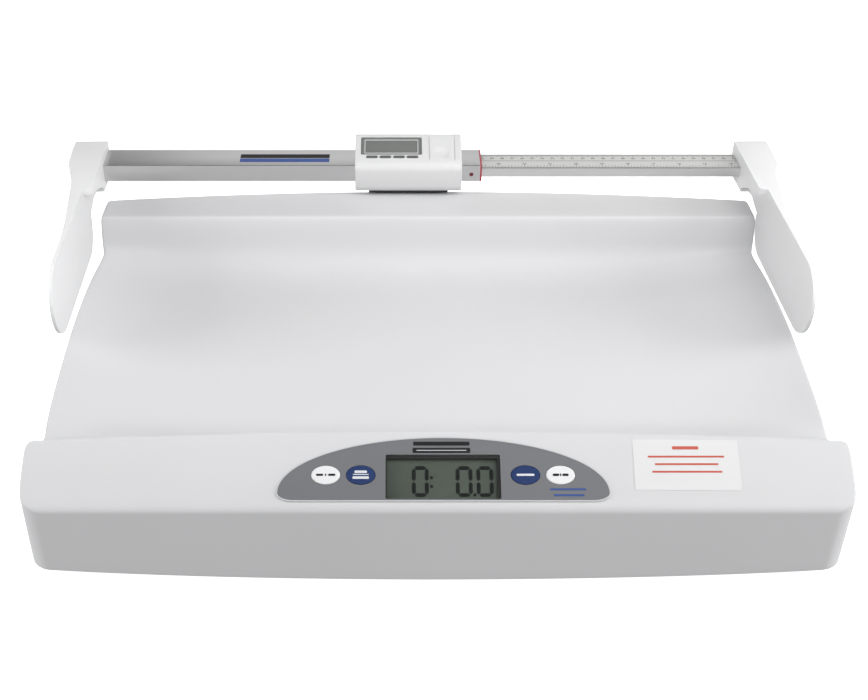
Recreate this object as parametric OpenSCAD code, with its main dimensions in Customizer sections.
// Baby tray scale with a sliding digital length rod.
// X runs from the left paddle to the right one, Y from the user's side to the rod, Z up.
// Local y = 0 is the crease above the front wall, and local x = 0 is the middle of the tray.

/* [Tray] */
// Width of the console at its front wall
console_w = 624; // [520:1:750]
// Height of the crease between front wall and console panel
crease_z = 76; // [70:1:84]
// Tilt of the console panel, in degrees
panel_tilt = 31; // [27:1:34]
// Depth in plan of the console panel at the middle
panel_d = 55; // [50:1:62]
// Distance from the front wall to the foot of the rear ledge
wall_y = 366; // [305:1:440]
// Depth of the rear ledge at the middle
ledge_d = 50; // [40:1:62]
// Height of the rear ledge
ledge_z = 120; // [114:1:140]
// Height of the seat at its lowest
seat_z = 70; // [67:0.5:74]
// Height of the seat's side rims
rim_z = 88; // [84:0.5:92]
// Wall thickness of the tray moulding
shell_t = 3; // [2:0.1:3.6]

/* [Console] */
// Width of the display overlay
overlay_w = 252; // [220:2:290]
// Thickness of the display overlay
overlay_t = 0.6; // [0.4:0.1:1]
// Width of the display window
window_w = 86.5; // [70:0.5:96]
// Height of the display window
window_h = 34.6; // [28:0.2:38]
// Width of a console key
key_w = 22; // [18:0.1:26.5]
// Height of a console key
key_h = 15; // [12:0.5:18]
// Travel of a console key
key_travel = 0.8; // [0.4:0.1:1.2]
// Distance from the display's middle to an inner key
key_x1 = 62.2; // [60:0.2:66]
// Gap between the two keys of a pair
key_gap = 4.5; // [3.4:0.1:8]

/* [Base] */
// Width of the base tub
base_w = 540; // [480:5:560]
// Underside of the base tub
base_z = 12; // [10:0.5:14]
// Wall thickness of the base tub
base_t = 3; // [2:0.1:4]
// Radius of a rubber foot
foot_r = 14; // [10:0.5:18]
// Height of a rubber foot
foot_h = 9; // [7:0.5:9]
// Length of a load cell
cell_l = 80; // [70:1:100]
// Width and height of a load cell
cell_s = 12.7; // [12:0.1:16]

/* [Length rod] */
// Length of the outer tube between the left paddle and the index ring
tube_l = 369; // [330:1:440]
// Depth of the outer tube
tube_d = 34; // [28:0.1:41]
// Height of the outer tube
tube_h = 17.3; // [16:0.1:20]
// Wall of the outer tube
tube_t = 1.8; // [1.2:0.1:2.4]
// Length of inner rod that shows at rest
rod_out = 255; // [200:1:260]
// Length of inner rod that stays in the tube at rest
rod_in = 96; // [80:1:100]
// Play between the inner rod and the tube's wall, in front and behind
rod_play = 0.4; // [0.3:0.05:1]
// Height of the inner rod
rod_h = 10; // [8:0.1:12]
// How far the left paddle's face stands left of the tray's middle
left_face = 317.5; // [280:0.5:360]

/* [Paddles] */
// Reach of a paddle's blade in front of the tube
blade_reach = 222; // [180:1:240]
// Thickness of a paddle's blade
blade_t = 3; // [2:0.1:4]
// Width of a paddle's head
head_w = 32; // [28:0.5:38]
// Distance from the head's face back to the blade's face
blade_step = 7.5; // [5:0.5:9]
// Lean of both blades towards the rod's right end, in degrees
blade_lean = 1.2; // [0:0.1:1.5]

/* [Reader] */
// Width of the reader
reader_w = 104.5; // [98:0.5:120]
// Place of the reader's middle along the tube, from the tray's middle
reader_x = -18.8; // [-60:0.2:-16]
// Wall thickness of the reader case
reader_t = 1.8; // [1.4:0.1:2.2]
// Width of the reader's display window
reader_lcd_w = 60; // [50:0.5:62]
// Height of the reader's display window
reader_lcd_h = 21; // [16:0.5:21.5]
// Travel of a reader key
reader_key_travel = 0.6; // [0.3:0.1:0.8]

/* [Clearances] */
// Gap round a part that slides or presses
slide_gap = 0.25; // [0.15:0.05:0.4]
// Gap round a part that only drops into place
drop_gap = 0.2; // [0.1:0.05:0.4]

/* [Hidden] */
$fn = 48;

// Colours
WHITE = "#eceef0";
GREY = "#8d9196";
METAL = "#c2c5c8";

// ---- frame ----
ridge_z = crease_z + panel_d * tan(panel_tilt);
back_y = wall_y + ledge_d;
front_flare = 3;
rod_y = back_y + 9.5;
rod_z = ledge_z + 23.35;
reader_low = rod_z - tube_h / 2 - 9;
reader_back = rod_y + 22.5;
rod_d = tube_d - 2 * (tube_t + rod_play);
// Middle of the whole scale: X from the two heads, which the blades' lean turns a little
x_mid = (tube_l + rod_out) / 2 - left_face - (tube_d / 2 - 1) * sin(blade_lean);
y_mid = (reader_back - front_flare) / 2;
module in_frame() translate([-x_mid, -y_mid, 0]) children();

// ---- tray moulding: a grid of stations from front to back, crossed by columns from side to side ----
console_hw = console_w / 2;
seat_hw = console_hw + 7;          // widest half width of the seat
neck_hw = console_hw - 12;         // half width in the notch behind the console
ledge_hw = console_hw + 4;
ridge_bow = 8;
ledge_bow = 20;
console_drop = crease_z - 5;       // front wall, at the middle
front_rise = 9;                    // how much higher the front wall's lower edge is at its ends
side_drop = 14;                    // skirt under the side rims
rear_drop = 26;                    // skirt under the ledge
slope_end = panel_d + 75;
cove_start = wall_y - 56;
cove_power = 5;                    // how sharply the seat turns up into the rear wall
rim_foot = wall_y - 9;             // where the side rim starts to climb to the ledge
rim_climb = 22;

// Each station: y at the middle, how far it bows forward at the sides, half width
STATIONS = [[0, 0, console_hw - 11], [2.5, 0, console_hw - 5], [6.5, 0, console_hw - 1.5],
    [13, 0, console_hw], [30, 3, console_hw], [panel_d - 6, ridge_bow - 1, console_hw],
    [panel_d, ridge_bow, console_hw],
    [panel_d + 4, 6, console_hw - 1], [panel_d + 8, 5, console_hw - 5], [panel_d + 12, 4, neck_hw],
    [panel_d + 19, 2, neck_hw + 3], [panel_d + 27, 0, neck_hw + 6], [panel_d + 40, 0, neck_hw + 10],
    [panel_d + 58, 0, seat_hw - 5], [slope_end, 0, seat_hw - 3.5], [slope_end + 35, 0, seat_hw - 1.5],
    [(slope_end + cove_start) / 2 + 10, 0, seat_hw], [cove_start - 25, 0, seat_hw], [cove_start, 0, seat_hw],
    [wall_y - 42, 0, seat_hw], [wall_y - 30, 0, seat_hw], [wall_y - 20, 0, seat_hw],
    [wall_y - 11, 0, seat_hw], [wall_y - 5, 0, seat_hw - 1], [wall_y, 0, ledge_hw], [wall_y + 4, 1, ledge_hw],
    [wall_y + 22, ledge_bow * 0.45, ledge_hw], [back_y - 8, ledge_bow * 0.8, ledge_hw - 1],
    [back_y - 2.5, ledge_bow, ledge_hw - 5], [back_y, ledge_bow, ledge_hw - 10]];
COLUMNS = [-1, -0.985, -0.96, -0.91, -0.84, -0.74, -0.6, -0.42, -0.21, 0,
    0.21, 0.42, 0.6, 0.74, 0.84, 0.91, 0.96, 0.985, 1];
rows = len(STATIONS);
cols = len(COLUMNS);

function ease(a) = (1 - cos(180 * min(1, max(0, a)))) / 2;
function station_y(i, t) = STATIONS[i][0] - STATIONS[i][1] * t * t;
// Heights along the middle and along the side rim, y behind the ridge
function middle_z(y) = y < cove_start
    ? seat_z + (ridge_z - 1 - seat_z) * (1 - ease((y - panel_d) / (slope_end - panel_d)))
    : seat_z + (ledge_z - 1 - seat_z) * pow(min(1, (y - cove_start) / (wall_y - cove_start)), cove_power);
function rim_height(y) = y < rim_foot
    ? rim_z + (ridge_z - 5 - rim_z) * (1 - ease((y - panel_d + 8) / 140))
    : rim_z + (ledge_z - rim_z) * pow(min(1, (y - rim_foot) / rim_climb), 1.3);
function panel_z(y) = crease_z + y * tan(panel_tilt);
function skin_z(i, t) = let (y = station_y(i, t))
    i == 0 ? crease_z - 2
    : i <= 5 ? panel_z(y)
    : i == 6 ? panel_z(y) - 1
    : i == rows - 1 ? ledge_z - 2.5
    : let (m = y > wall_y ? ledge_z : middle_z(STATIONS[i][0]), r = rim_height(station_y(i, 1)))
        m + (r - m) * pow(abs(t), STATIONS[i][0] > cove_start + 20 ? 14 : 6);
function skin(i, j) = [COLUMNS[j] * STATIONS[i][2], station_y(i, COLUMNS[j]), skin_z(i, COLUMNS[j])];
// The inner skin lies one wall thickness inside
function inset_y(i, j) = i == 0 ? shell_t : i == rows - 1 ? -shell_t : 0;
function slope_at(i) = let (a = max(i - 1, 0), b = min(i + 1, rows - 1), m = floor(cols / 2))
    (skin(b, m)[2] - skin(a, m)[2]) / (skin(b, m)[1] - skin(a, m)[1]);
function inner_skin(i, j) = let (p = skin(i, j), s = slope_at(i), flat = sqrt(1 + s * s))
    [COLUMNS[j] * (STATIONS[i][2] - shell_t), p[1] + inset_y(i, j),
     p[2] - shell_t * (i >= 1 && i <= 5 ? 1 / cos(panel_tilt) : min(flat, 1.9))];
// The border runs round the grid: front, right side, rear, left side
BORDER = concat([for (j = [0 : cols - 1]) [0, j]], [for (i = [1 : rows - 1]) [i, cols - 1]],
    [for (j = [cols - 2 : -1 : 0]) [rows - 1, j]], [for (i = [rows - 2 : -1 : 1]) [i, 0]]);
n_border = len(BORDER);
function skirt_z(i, j) = i == 0 ? crease_z - console_drop + front_rise * pow(abs(COLUMNS[j]), 2.5)
    : i <= 7 ? crease_z - console_drop + front_rise
    : i == rows - 1 ? ledge_z - rear_drop
    : skin_z(i, 1) - side_drop - (i > rows - 7 ? (rear_drop - side_drop) * ease((i - rows + 7) / 6) : 0);
function side_flare(i) = i <= 7 ? 4 : 1.5;
function skirt(k, inset) = let (i = BORDER[k][0], j = BORDER[k][1], p = skin(i, j), t = COLUMNS[j])
    [t * (STATIONS[i][2] + side_flare(i) - inset),
     p[1] + (i == 0 ? -front_flare * (1 - 0.6 * abs(t)) + inset : i == rows - 1 ? 0.5 - inset : 0),
     skirt_z(i, j)];
function grid(base, i, j) = base + i * cols + j;
function fan(a, b, c, d) = [[a, b, c], [a, c, d]];
function flatten(l) = [for (a = l) for (b = a) b];

module tray_blank() {
    n = rows * cols;
    points = concat([for (i = [0 : rows - 1]) for (j = [0 : cols - 1]) skin(i, j)],
        [for (i = [0 : rows - 1]) for (j = [0 : cols - 1]) inner_skin(i, j)],
        [for (k = [0 : n_border - 1]) skirt(k, 0)], [for (k = [0 : n_border - 1]) skirt(k, shell_t)]);
    top = flatten([for (i = [0 : rows - 2]) for (j = [0 : cols - 2])
        fan(grid(0, i, j), grid(0, i + 1, j), grid(0, i + 1, j + 1), grid(0, i, j + 1))]);
    under = flatten([for (i = [0 : rows - 2]) for (j = [0 : cols - 2])
        fan(grid(n, i, j), grid(n, i, j + 1), grid(n, i + 1, j + 1), grid(n, i + 1, j))]);
    outer = 2 * n;
    inner = 2 * n + n_border;
    sides = flatten([for (k = [0 : n_border - 1]) let (
            l = (k + 1) % n_border,
            a = grid(0, BORDER[k][0], BORDER[k][1]), b = grid(0, BORDER[l][0], BORDER[l][1]))
        concat(fan(a, b, outer + l, outer + k), fan(outer + k, outer + l, inner + l, inner + k),
            fan(inner + k, inner + l, b + n, a + n))]);
    polyhedron(points, concat(top, under, sides), convexity = 8);
}

// ---- console panel frame: x along it, y up its slope, z out of it ----
module on_panel() translate([0, 0, crease_z]) rotate([panel_tilt, 0, 0]) children();
display_x = 4.2;
display_s = 9.3 + window_h / 2;
key_s = 27.8;
key_x2 = key_x1 + key_w + key_gap;
KEYS = [-key_x2, -key_x1, key_x1, key_x2];
overlay_low = 7;
overlay_waist = 14;
overlay_top = 58.4;

// An oval plate of width w and height h, from z0 up to z1, drawn with 40 corners
module oval(w, h, z0, z1) translate([0, 0, z0]) linear_extrude(z1 - z0)
    polygon([for (a = [0 : 9 : 351]) [w / 2 * cos(a), h / 2 * sin(a)]]);
module block(size, at = [0, 0, 0]) translate(at - size / 2) cube(size);

// Half-moon outline with a flat foot and small round heels
module overlay_outline() {
    a = overlay_w / 2;
    heel = 12;
    rise = overlay_top - overlay_waist;
    drop = overlay_waist - overlay_low;
    turns = [0 : 11.25 : 90];
    polygon(concat([for (t = [0 : 5 : 180]) [a * cos(t), overlay_waist + rise * sin(t)]],
        [for (t = turns) [-a + heel - heel * cos(t), overlay_waist - drop * sin(t)]],
        [for (t = turns) [a - heel + heel * sin(t), overlay_waist - drop * cos(t)]]));
}

module tray_shell() color(WHITE) difference() {
    tray_blank();
    on_panel() translate([display_x, 0, 0]) {
        block([window_w + 2 * drop_gap, window_h + 2 * drop_gap, 30], [0, display_s, 0]);
        for (x = KEYS) translate([x, key_s, 0])
            oval(key_w + 2 * slide_gap, key_h + 2 * slide_gap, -15, 15);
    }
    knob_holes();
}

module console_overlay() color(GREY) on_panel() translate([display_x, 0, 0]) difference() {
    linear_extrude(overlay_t) overlay_outline();
    block([window_w + 2 * drop_gap, window_h + 2 * drop_gap, 5], [0, display_s, 0]);
    for (x = KEYS) translate([x, key_s, 0])
        oval(key_w + 2 * slide_gap, key_h + 2 * slide_gap, -2, 2);
}

window_n = overlay_t - 0.4;         // face of the window, a little below the overlay's
module display_window() color("#9aa39a") on_panel()
    block([window_w, window_h, shell_t + window_n], [display_x, display_s, (window_n - shell_t) / 2]);

board_n = -13;                     // top face of the main board, below the panel's face
under_n = -shell_t - 0.3;          // just below the panel's underside
module display_module() color("#6d756d") on_panel() difference() {
    block([window_w + 8, window_h + 8, under_n - board_n], [display_x, display_s, (board_n + under_n) / 2]);
    block([window_w - 6, window_h + 10, 3], [display_x, display_s, board_n + 1]);
}

module main_board() color("darkgreen") on_panel() difference() {
    block([2 * key_x2 + 30, 46, 1.6], [display_x, 27, board_n - 0.8]);
    for (x = [-1, 1], s = [8, 46]) translate([display_x + x * (key_x2 + 10), s, board_n - 3])
        cylinder(r = 1.6, h = 5);
}

key_flange = 1.4;
key_skirt = 1.5;                   // how far a key's flange stands out all round
switch_h = 3.6;
module key_switches() color("#303236") on_panel() for (x = KEYS) translate([display_x + x, key_s, board_n]) {
    block([6.2, 6.2, switch_h], [0, 0, switch_h / 2]);
    // the plunger stops just short of a pressed key
    translate([0, 0, switch_h])
        cylinder(r = 1.7, h = under_n - key_flange - key_travel - 0.3 - board_n - switch_h);
}

module console_key(x, tone) color(tone) on_panel() translate([display_x + x, key_s, 0]) {
    oval(key_w, key_h, under_n, overlay_t + 0.5);
    oval(key_w + 2 * key_skirt, key_h + 2 * key_skirt, under_n - key_flange, under_n);
}

module care_label() color("white") on_panel() translate([189, 36, 0.15]) rotate(-0.4)
    block([80, 40, 0.3]);

// ---- base ----
base_front = 6;
base_rear = wall_y - 24;
base_top = seat_z - 10;
base_d = base_rear - base_front;
base_mid = (base_front + base_rear) / 2;
base_r = 18;
base_floor = base_z + base_t;
foot_x = base_w / 2 - 38;
FEET = [for (y = [base_front + 34, base_rear - 30], side = [-1, 1]) [side * foot_x, y]];
// each load cell points from its foot towards the middle
function inward(p) = p[0] > 0 ? -1 : 1;

// A plate with round corners
module round_plate(w, d, r, h) linear_extrude(h) {
    square([w - 2 * r, d], center = true);
    square([w, d - 2 * r], center = true);
    for (x = [-1, 1], y = [-1, 1]) translate([x * (w / 2 - r), y * (d / 2 - r)]) circle(r);
}

stud_r = 3;
cell_bore_r = 2.1;
foot_hole_r = foot_r + 3;
boss_r = 5;
case_thread_r = 1.75;
CASE_SCREWS = [for (x = [-1, 0, 1], y = [base_front + 70, base_rear - 110]) [x * (base_w / 2 - 90), y]];
CELL_BOLTS = [for (p = FEET, k = [-6, 6]) [p[0] + inward(p) * (cell_l - 24) + k, p[1]]];
door_w = 124;
door_d = 62;
door_y0 = base_rear - door_d;
door_tongue = 3;
inlet_x = 190;
inlet_z = base_floor + 12;
inlet_r = 5.5;

module base_cover() color(WHITE) difference() {
    union() {
        difference() {
            translate([0, base_mid, base_z]) round_plate(base_w, base_d, base_r, base_top - base_z);
            translate([0, base_mid, base_floor])
                round_plate(base_w - 2 * base_t, base_d - 2 * base_t, base_r - base_t, base_top);
        }
        for (p = CASE_SCREWS) translate([p[0], p[1], base_floor])
            cylinder(r = boss_r, h = base_top - base_floor - 4);
        for (p = FEET) translate([p[0] + inward(p) * (cell_l - 24), p[1], base_floor])
            block([22, cell_s, 3], [0, 0, 1.5]);
    }
    for (p = FEET) translate([p[0], p[1], base_z - 1]) cylinder(r = foot_hole_r, h = base_t + 2);
    for (p = CASE_SCREWS) translate([p[0], p[1], base_z - 1]) cylinder(r = case_thread_r, h = base_top);
    for (p = CASE_SCREWS) translate([p[0], p[1], base_z - 1]) cylinder(r = 3.6, h = 3.2);
    for (p = CELL_BOLTS) translate([p[0], p[1], base_z - 1]) cylinder(r = cell_bore_r, h = 8);
    // battery opening with side grooves, open to the rear
    translate([0, door_y0, base_z - 1]) translate([-door_w / 2 - drop_gap, 0, 0])
        cube([door_w + 2 * drop_gap, door_d + 10, base_t + 2]);
    translate([-door_w / 2 - door_tongue - slide_gap, door_y0, base_z + base_t / 2 - slide_gap])
        cube([door_w + 2 * (door_tongue + slide_gap), door_d + 10, base_t / 2 + 2 * slide_gap]);
    translate([inlet_x, base_rear + 5, inlet_z]) rotate([90, 0, 0]) cylinder(r = inlet_r, h = 15);
}

module battery_door() color(WHITE) difference() {
    union() {
        translate([-door_w / 2, door_y0 + slide_gap, base_z]) cube([door_w, door_d - slide_gap, base_t / 2]);
        translate([-door_w / 2 - door_tongue, door_y0 + slide_gap, base_z + base_t / 2])
            cube([door_w + 2 * door_tongue, door_d - slide_gap, base_t / 2 - drop_gap]);
    }
    for (y = [0 : 4]) translate([-16, base_rear - 10 - 3 * y, base_z - 0.1]) cube([32, 1.5, 0.9]);
}

box_t = 1.8;
cell_aa_r = 7.25;
cell_aa_l = 50.5;
box_w = 6 * 2 * cell_aa_r + 8;
box_d = cell_aa_l + 6;
box_y = base_rear - base_t - box_d / 2 - 1;
box_z0 = base_floor + slide_gap + 0.1;
box_h = 2 * cell_aa_r + 3;
module battery_box() color("#d6d8da") difference() {
    translate([0, box_y, box_z0]) round_plate(box_w, box_d, 3, box_h);
    block([box_w - 2 * box_t, box_d - 2 * box_t, 2 * (box_h - box_t)], [0, box_y, box_z0]);
}
CELLS = [for (k = [-2.5 : 2.5]) k * (2 * cell_aa_r + 0.6)];
cell_z = box_z0 + cell_aa_r + 0.4;
module batteries() color("#c9a227") for (x = CELLS) translate([x, box_y - cell_aa_l / 2 + 0.2, cell_z])
    rotate([-90, 0, 0]) {
        cylinder(r = cell_aa_r, h = cell_aa_l - 1.2);
        translate([0, 0, cell_aa_l - 1.2]) cylinder(r = 2.7, h = 1);
    }
module battery_contacts() color("silver") for (k = [0 : len(CELLS) - 1]) {
    translate([CELLS[k], box_y - box_d / 2 + box_t, cell_z]) rotate([-90, 0, 0]) cylinder(r = 4, h = 1);
    translate([CELLS[k], box_y + box_d / 2 - box_t - 0.6, cell_z]) rotate([-90, 0, 0])
        cylinder(r = 4, h = 0.6);
}

module power_inlet() color("#202124") translate([inlet_x, base_rear + 1, inlet_z]) rotate([90, 0, 0]) {
    difference() {
        union() {
            cylinder(r = inlet_r, h = 14);
            translate([0, 0, base_t + 1]) cylinder(r = inlet_r + 1.5, h = 3);
        }
        translate([0, 0, -1]) cylinder(r = 3.2, h = 11);
    }
    translate([0, 0, 1]) cylinder(r = 1.05, h = 10);
}

cell_z0 = base_floor + 3;
module load_cell(p) color(METAL) difference() {
    x = p[0] + inward(p) * (cell_l / 2 - 10);
    z = cell_z0 + cell_s / 2;
    block([cell_l, cell_s, cell_s], [x, p[1], z]);
    // the two joined holes that let the beam bend
    for (k = [-5, 5]) translate([x + k, p[1] + cell_s, z]) rotate([90, 0, 0])
        cylinder(r = 4.2, h = 2 * cell_s);
    block([10, 2 * cell_s, 2], [x, p[1], z]);
    translate([p[0], p[1], cell_z0 - 1]) cylinder(r = stud_r, h = cell_s + 2);
    for (b = CELL_BOLTS) translate([b[0], b[1], cell_z0 - 1]) cylinder(r = cell_bore_r, h = cell_s + 2);
}

module foot(p) color("#3a3c3f") translate([p[0], p[1], 0]) difference() {
    union() {
        cylinder(r1 = foot_r - 1, r2 = foot_r, h = 2);
        translate([0, 0, 2]) cylinder(r = foot_r, h = foot_h - 2);
    }
    translate([0, 0, 3]) cylinder(r = stud_r, h = foot_h);
}

module foot_studs() color("silver") for (p = FEET) translate([p[0], p[1], 3]) {
    cylinder(r = stud_r, h = cell_z0 + cell_s - 3);
    translate([0, 0, foot_h - 3]) cylinder(r = 8, h = cell_z0 - foot_h);
}

module cell_screws() color("silver") for (b = CELL_BOLTS) translate([b[0], b[1], base_z + 0.2])
    cylinder(r = cell_bore_r, h = cell_z0 + cell_s - base_z - 1);

module case_screws() color("silver") for (p = CASE_SCREWS) translate([p[0], p[1], base_z + 0.3]) {
    cylinder(r = 3.4, h = 1.9);
    cylinder(r = case_thread_r, h = base_top - base_z - 5);
}

// A thin cable swept along its route, with 8 flat sides
cable_r = 1.6;
function unit(v) = v / norm(v);
function cable_ring(route, k) = let (
        last = len(route) - 1,
        run = unit(route[min(k + 1, last)] - route[max(k - 1, 0)]),
        side = unit(cross(run, [0, 0, 1])), up = cross(side, run))
    [for (a = [0 : 45 : 315]) route[k] + cable_r * (cos(a) * side + sin(a) * up)];
module cable(route) {
    n = len(route);
    polyhedron(flatten([for (k = [0 : n - 1]) cable_ring(route, k)]),
        concat([[for (q = [0 : 7]) q]], [[for (q = [7 : -1 : 0]) (n - 1) * 8 + q]],
            [for (k = [0 : 8 : 8 * n - 16], q = [0 : 7]) let (r = (q + 1) % 8)
                [k + q, k + 8 + q, k + 8 + r, k + r]]));
}
module sensor_cables() color("#55585c") for (p = FEET) {
    rear = p[1] > base_mid;
    side = sign(p[0]);
    end = p[0] + inward(p) * (cell_l - 9.5);
    cable([[end, p[1], cell_z0 + 6], [end - side * 18, p[1] - (rear ? 4 : -1), cell_z0 + 6],
        [side * (rear ? 100 : 110), p[1] - (rear ? 60 : -8), cell_z0 + 6.5],
        [side * (rear ? 70 : 86), base_front + (rear ? 84 : 56), cell_z0 + 7],
        [side * (rear ? 52 : 66), base_front + 52, cell_z0 + 9]]);
}

// ---- bracket that carries the rod ----
knob_z = ledge_z - 16;
knob_thread_r = 2.5;
KNOBS = [reader_x - 25, reader_x + 25];
plate_t = 3;
plate_y = back_y + 1;
module knob_holes() for (x = KNOBS) translate([x, back_y - 10, knob_z]) rotate([-90, 0, 0])
    cylinder(r = knob_thread_r, h = 30);
bracket_w = 78;
saddle_front = rod_y - 17;
module rod_bracket() color("#2c2e31") difference() {
    union() {
        translate([reader_x - bracket_w / 2, plate_y, ledge_z - rear_drop - 4])
            cube([bracket_w, plate_t, reader_low - ledge_z + rear_drop + 4]);
        translate([reader_x - bracket_w / 2, saddle_front, reader_low - plate_t])
            cube([bracket_w, rod_y + 15 - saddle_front, plate_t]);
    }
    knob_holes();
}
module bracket_knobs() color("#202124") for (x = KNOBS)
    translate([x, plate_y + plate_t, knob_z]) rotate([-90, 0, 0]) {
    difference() {
        cylinder(r = 9, h = 10);
        for (a = [0 : 45 : 315]) rotate(a) translate([10, 0, -1]) cylinder(r = 2, h = 12);
    }
    translate([0, 0, -plate_t - 6]) cylinder(r = knob_thread_r, h = plate_t + 6);
}

// ---- length rod: x runs along it ----
tube_x0 = -left_face;
tube_x1 = tube_x0 + tube_l;
right_face = tube_x1 + rod_out;
socket = 20;                       // how deep a tube or rod end sits in its paddle
ring_t = 1.6;

module bar(x0, x1, d, h, y = rod_y, z = rod_z) translate([x0, y - d / 2, z - h / 2]) cube([x1 - x0, d, h]);

module outer_tube() color(METAL) difference() {
    bar(tube_x0 - socket, tube_x1, tube_d, tube_h);
    bar(tube_x0 - socket - 1, tube_x1 + 1, tube_d - 2 * tube_t, tube_h - 2 * tube_t);
    translate([pin_x, rod_y - tube_d / 2 - 1, pin_z]) rotate([-90, 0, 0])
        cylinder(r = pin_r, h = tube_t + 1.5);
}
pin_x = tube_x1 - 8.5;
pin_z = rod_z - 1;
pin_r = 2.1;
ring_in = 14;
module index_ring() color("#b3343c") difference() {
    union() {
        bar(tube_x1, tube_x1 + ring_t, tube_d, tube_h);
        bar(tube_x1 - ring_in, tube_x1, tube_d - 2 * tube_t, tube_h - 2 * tube_t);
    }
    bar(tube_x1 - ring_in - 1, tube_x1 + ring_t + 1, rod_d + 2 * slide_gap, rod_h + 2 * slide_gap);
}
module index_pin() color("#8f1f28") translate([pin_x, rod_y - tube_d / 2 - 0.4, pin_z]) rotate([-90, 0, 0])
    cylinder(r = pin_r, h = 0.4 + tube_t);
module tube_plug() color("#202124") difference() {
    bar(tube_x0 - socket, tube_x0 - 2, tube_d - 2 * tube_t, tube_h - 2 * tube_t);
    paddle_bores(tube_x0 - socket - 1, screw_r, 16);
}
SCREW_Y = [-9, 9];
screw_r = 1.6;
screw_head_r = 3.2;
module paddle_bores(x, r, l) for (y = SCREW_Y) translate([x, rod_y + y, rod_z]) rotate([0, 90, 0])
    cylinder(r = r, h = l);

rod_x0 = tube_x1 - rod_in;
strip_t = 0.2;
module inner_rod() color(METAL) difference() {
    bar(rod_x0, right_face + socket, rod_d, rod_h);
    bar(rod_x0 - 1, right_face + socket + 1, rod_d - 5, rod_h - 4);
    bar(rod_x0 - 1, right_face, rod_d - 4, strip_t * 2, z = rod_z + rod_h / 2);
    bar(rod_x0 - 1, right_face, 8, strip_t * 2, z = rod_z - rod_h / 2);
}
// The strips lie flush in the rod's upper and lower faces
module ruler_strip() color("white")
    bar(rod_x0, right_face, rod_d - 4, strip_t, z = rod_z + (rod_h - strip_t) / 2);
module code_strip() color("#b08d57") bar(rod_x0, right_face, 8, strip_t, z = rod_z - (rod_h - strip_t) / 2);
module glide_block() color("#202124") difference() {
    bar(rod_x0 - 6, rod_x0, tube_d - 2 * tube_t - 2 * slide_gap, tube_h - 2 * tube_t - 2 * slide_gap);
    bar(rod_x0 - 7, rod_x0 + 1, 8, 3);
}
module rod_end_block() color("#202124") difference() {
    bar(right_face - 4, right_face + socket, rod_d - 5, rod_h - 4);
    paddle_bores(right_face + socket - 15, screw_r, 16);
}

// ---- paddles, drawn for the right side: x = 0 is the inner face of the head ----
head_back = tube_d / 2 + 3;
head_top = 16.65;
head_low = -15;
blade_low = rim_z + 3.5 - rod_z;
blade_tip = -tube_d / 2 - blade_reach;
head_front = -tube_d / 2 - 57;
heel_y = wall_y - 2 - rod_y;       // where the head's underside drops to the blade
nose = 32;

// Plan: the outside tapers from the head into the blade
module paddle_plan() polygon([[0, head_back - 1], [0, head_front], [blade_step * 0.4, head_front - 4],
    [blade_step, head_front - 6], [blade_step, blade_tip - 1], [blade_step + blade_t, blade_tip - 1],
    [blade_step + blade_t, -170], [blade_step + blade_t + 2, -140], [16, -108], [19.5, -75], [23, -50],
    [head_w - 1.5, -28], [head_w, head_back - 4], [head_w - 2, head_back], [2, head_back]]);

// Side view: y forward to back, z up; the nose is a half ellipse, the heel a quarter curve
module paddle_side() {
    mid = (head_top + blade_low) / 2;
    half = (head_top - blade_low) / 2;
    heel_w = 26;
    heel_h = head_low - 4 - blade_low;
    polygon(concat(
        [[head_back + 1, head_low], [head_back + 1, head_top - 1.5], [head_back - 0.5, head_top]],
        [for (t = [0 : 11.25 : 180]) [blade_tip + nose * (1 - sin(t)), mid + half * cos(t)]],
        [for (t = [0 : 11.25 : 90]) [heel_y - heel_w * (1 - sin(t)), blade_low + heel_h * (1 - cos(t))]],
        [[-tube_d / 2 - 22, head_low + 2], [-tube_d / 2 - 9, head_low]]));
}
// The inner step is cut back under the head so that its front edge leans
module step_relief() polygon([[head_front - 15, head_top - 6], [head_front - 11, head_top - 2],
    [head_front - 7, head_top - 5], [-tube_d / 2 - 28, -1], [-tube_d / 2 - 12, head_low + 6],
    [-tube_d / 2 - 9, head_low - 1], [-tube_d / 2 - 9, head_low - 40], [blade_tip - 5, head_low - 40],
    [blade_tip - 5, head_top - 6]]);

module paddle(bore_d, bore_h, lean) difference() {
    translate([0, rod_y, rod_z]) rotate(lean) difference() {
        intersection() {
            translate([0, 0, -60]) linear_extrude(120) paddle_plan();
            translate([-1, 0, 0]) rotate([90, 0, 90]) linear_extrude(head_w + 5) paddle_side();
        }
        translate([-1, 0, 0]) rotate([90, 0, 90]) linear_extrude(blade_step + 1) step_relief();
    }
    translate([-1, rod_y - bore_d / 2, rod_z - bore_h / 2]) cube([socket + 1, bore_d, bore_h]);
    paddle_bores(socket - 1, screw_r, head_w);
    paddle_bores(head_w - 4, screw_head_r + drop_gap, 10);
}
module paddle_screws() {
    paddle_bores(socket - 13, screw_r, head_w - 4 - socket + 13);
    paddle_bores(head_w - 4, screw_head_r, 2.4);
}
module right_paddle() color(WHITE) translate([right_face, 0, 0]) paddle(rod_d, rod_h, blade_lean);
module left_paddle() color(WHITE) translate([tube_x0, 0, 0]) mirror([1, 0, 0])
    paddle(tube_d, tube_h, -blade_lean);
module right_paddle_screws() color("silver") translate([right_face, 0, 0]) paddle_screws();
module left_paddle_screws() color("silver") translate([tube_x0, 0, 0]) mirror([1, 0, 0]) paddle_screws();

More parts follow.
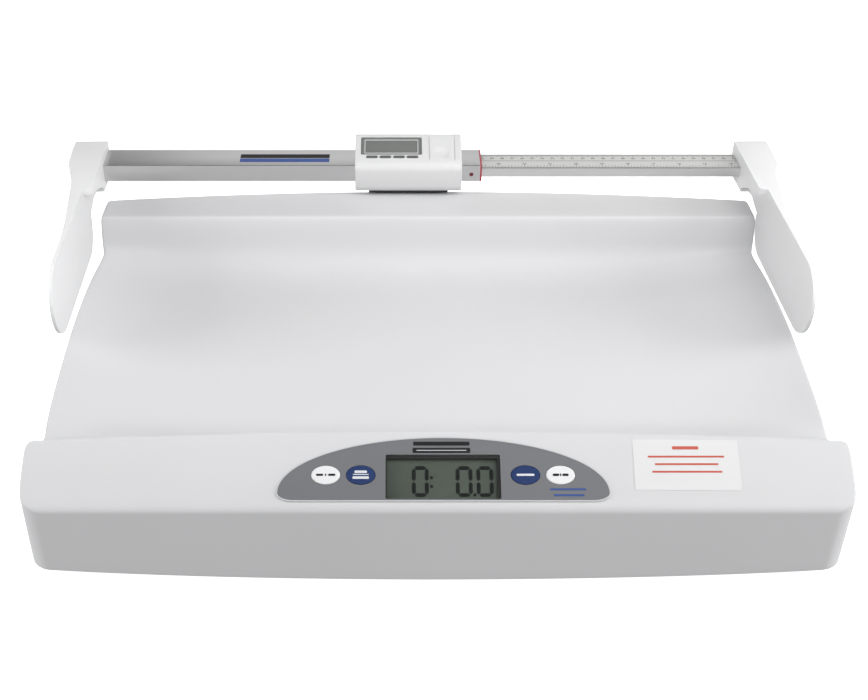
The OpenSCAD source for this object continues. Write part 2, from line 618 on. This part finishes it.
// ---- digital reader on the tube ----
reader_x0 = reader_x - reader_w / 2;
reader_front = rod_y - 22.5;
face_tilt = 19.5;
face_y = reader_front + 7.5;       // lower edge of the slanted face
face_z = rod_z + 13.1;
face_l = 33;
reader_top = face_z + face_l * sin(face_tilt);
shoulder_r = 9;

module reader_outline(inset) {
    turn = 90 - face_tilt;
    cx = reader_front + shoulder_r;
    cz = face_z - shoulder_r * cos(face_tilt);
    polygon(concat([[reader_back - inset, reader_low + inset], [reader_back - inset, reader_top - 3],
            [reader_back - 2 - inset / 2, reader_top - inset],
            [face_y + face_l * cos(face_tilt), reader_top - inset]],
        [for (k = [0 : 7]) let (a = 90 + face_tilt + turn * k / 7)
            [cx + (shoulder_r - inset) * cos(a), cz + (shoulder_r - inset) * sin(a)]],
        [[reader_front + inset, reader_low + 4], [reader_front + 1.5 + inset, reader_low + inset]]));
}
module along_tube(x0, x1) translate([x0, 0, 0]) rotate([90, 0, 90]) linear_extrude(x1 - x0) children();
module on_face() translate([reader_x, face_y, face_z]) rotate([face_tilt, 0, 0]) children();

module reader_hull(inset) along_tube(reader_x0 + inset, reader_x0 + reader_w - inset) reader_outline(inset);
// Everything round the reader above a level, to split its case at the rod's middle
module above(z) translate([reader_x - 100, rod_y - 60, z]) cube([200, 120, 80]);

lcd_s = 8.6 + reader_lcd_h / 2;
lcd_x = -17;
reader_key_w = 11.2;
reader_key_h = 3.4;
READER_KEYS = [for (k = [-1.5 : 1.5]) lcd_x + 13.2 * k - 0.4];
reader_key_s = 5.4;
cover_x = 33;
cover_w = 25;
cover_t = 1.4;
module pill(w, h, z0, z1) translate([0, 0, z0]) linear_extrude(z1 - z0) {
    square([w - h, h], center = true);
    for (x = [-1, 1]) translate([x * (w - h) / 2, 0]) circle(h / 2);
}
module cover_slot() translate([cover_x - cover_w / 2 - slide_gap, 1 - slide_gap, -cover_t - slide_gap])
    cube([cover_w + 2 * slide_gap, face_l + 30, cover_t + slide_gap]);

module reader_upper_case() color(WHITE) difference() {
    intersection() {
        reader_hull(0);
        above(rod_z);
    }
    // chamber above the tube
    intersection() {
        reader_hull(reader_t);
        above(rod_z + tube_h / 2 + 0.3);
    }
    bar(reader_x0 - 1, reader_x0 + reader_w + 1, tube_d, tube_h);
    on_face() {
        block([reader_lcd_w + 2 * drop_gap, reader_lcd_h + 2 * drop_gap, 12], [lcd_x, lcd_s, 0]);
        for (x = READER_KEYS) translate([x, reader_key_s, 0])
            pill(reader_key_w + 2 * slide_gap, reader_key_h + 2 * slide_gap, -6, 6);
        cover_slot();
    }
}
module reader_lower_case() color(WHITE) difference() {
    intersection() {
        reader_hull(0);
        above(rod_z - 80);
    }
    bar(reader_x0 - 1, reader_x0 + reader_w + 1, tube_d, tube_h);
}
module reader_window() color("#777c80") on_face()
    block([reader_lcd_w, reader_lcd_h, 1.2], [lcd_x, lcd_s, -0.8]);
reader_board_z = rod_z + tube_h / 2 + 1;
module reader_display() color("#5f665f") on_face()
    block([reader_lcd_w + 2, reader_lcd_h - 1, 2], [lcd_x, lcd_s, -reader_t - 1.15]);
module reader_board() color("darkgreen") translate([reader_x0 + 4, rod_y - 16, reader_board_z])
    cube([66, 32, 1]);
module reader_key(x) color("#8d9196") on_face() translate([x, reader_key_s, 0]) {
    flange_n = -reader_t - 0.2;
    pill(reader_key_w, reader_key_h, flange_n, 0.5);
    pill(reader_key_w + 1.2, reader_key_h + 1.2, flange_n - 0.7, flange_n);
}
module reader_cell() color("silver") translate([reader_x + cover_x - 1, rod_y + 1, reader_board_z])
    cylinder(r = 10, h = 3.2);
module reader_cell_cover() color(WHITE) on_face() difference() {
    translate([cover_x - cover_w / 2, 1, -cover_t]) cube([cover_w, face_l - 1, cover_t]);
    translate([cover_x, 11, 24.4]) sphere(r = 25);
}

// ---- assembly ----
in_frame() tray_shell();
in_frame() base_cover();
in_frame() main_board();
in_frame() key_switches();
in_frame() display_module();
in_frame() display_window();
in_frame() console_overlay();
in_frame() console_key(KEYS[0], "white");  // power_key
in_frame() console_key(KEYS[1], "#2d4f9e");  // zero_key
in_frame() console_key(KEYS[2], "#2d4f9e");  // release_key
in_frame() console_key(KEYS[3], "white");  // units_key
in_frame() care_label();
in_frame() load_cell(FEET[0]);  // load_cell_front_left
in_frame() load_cell(FEET[1]);  // load_cell_front_right
in_frame() load_cell(FEET[2]);  // load_cell_rear_left
in_frame() load_cell(FEET[3]);  // load_cell_rear_right
in_frame() foot(FEET[0]);  // foot_front_left
in_frame() foot(FEET[1]);  // foot_front_right
in_frame() foot(FEET[2]);  // foot_rear_left
in_frame() foot(FEET[3]);  // foot_rear_right
in_frame() foot_studs();
in_frame() cell_screws();
in_frame() case_screws();
in_frame() sensor_cables();
in_frame() battery_box();
in_frame() batteries();
in_frame() battery_contacts();
in_frame() battery_door();
in_frame() power_inlet();
in_frame() rod_bracket();
in_frame() bracket_knobs();
in_frame() outer_tube();
in_frame() tube_plug();
in_frame() index_ring();
in_frame() index_pin();
in_frame() left_paddle();
in_frame() left_paddle_screws();
in_frame() reader_lower_case();
in_frame() reader_upper_case();
in_frame() reader_board();
in_frame() reader_display();
in_frame() reader_window();
in_frame() reader_key(READER_KEYS[0]);  // reader_key_1
in_frame() reader_key(READER_KEYS[1]);  // reader_key_2
in_frame() reader_key(READER_KEYS[2]);  // reader_key_3
in_frame() reader_key(READER_KEYS[3]);  // reader_key_4
in_frame() reader_cell();
in_frame() reader_cell_cover();
in_frame() inner_rod();
in_frame() ruler_strip();
in_frame() code_strip();
in_frame() glide_block();
in_frame() rod_end_block();
in_frame() right_paddle();
in_frame() right_paddle_screws();
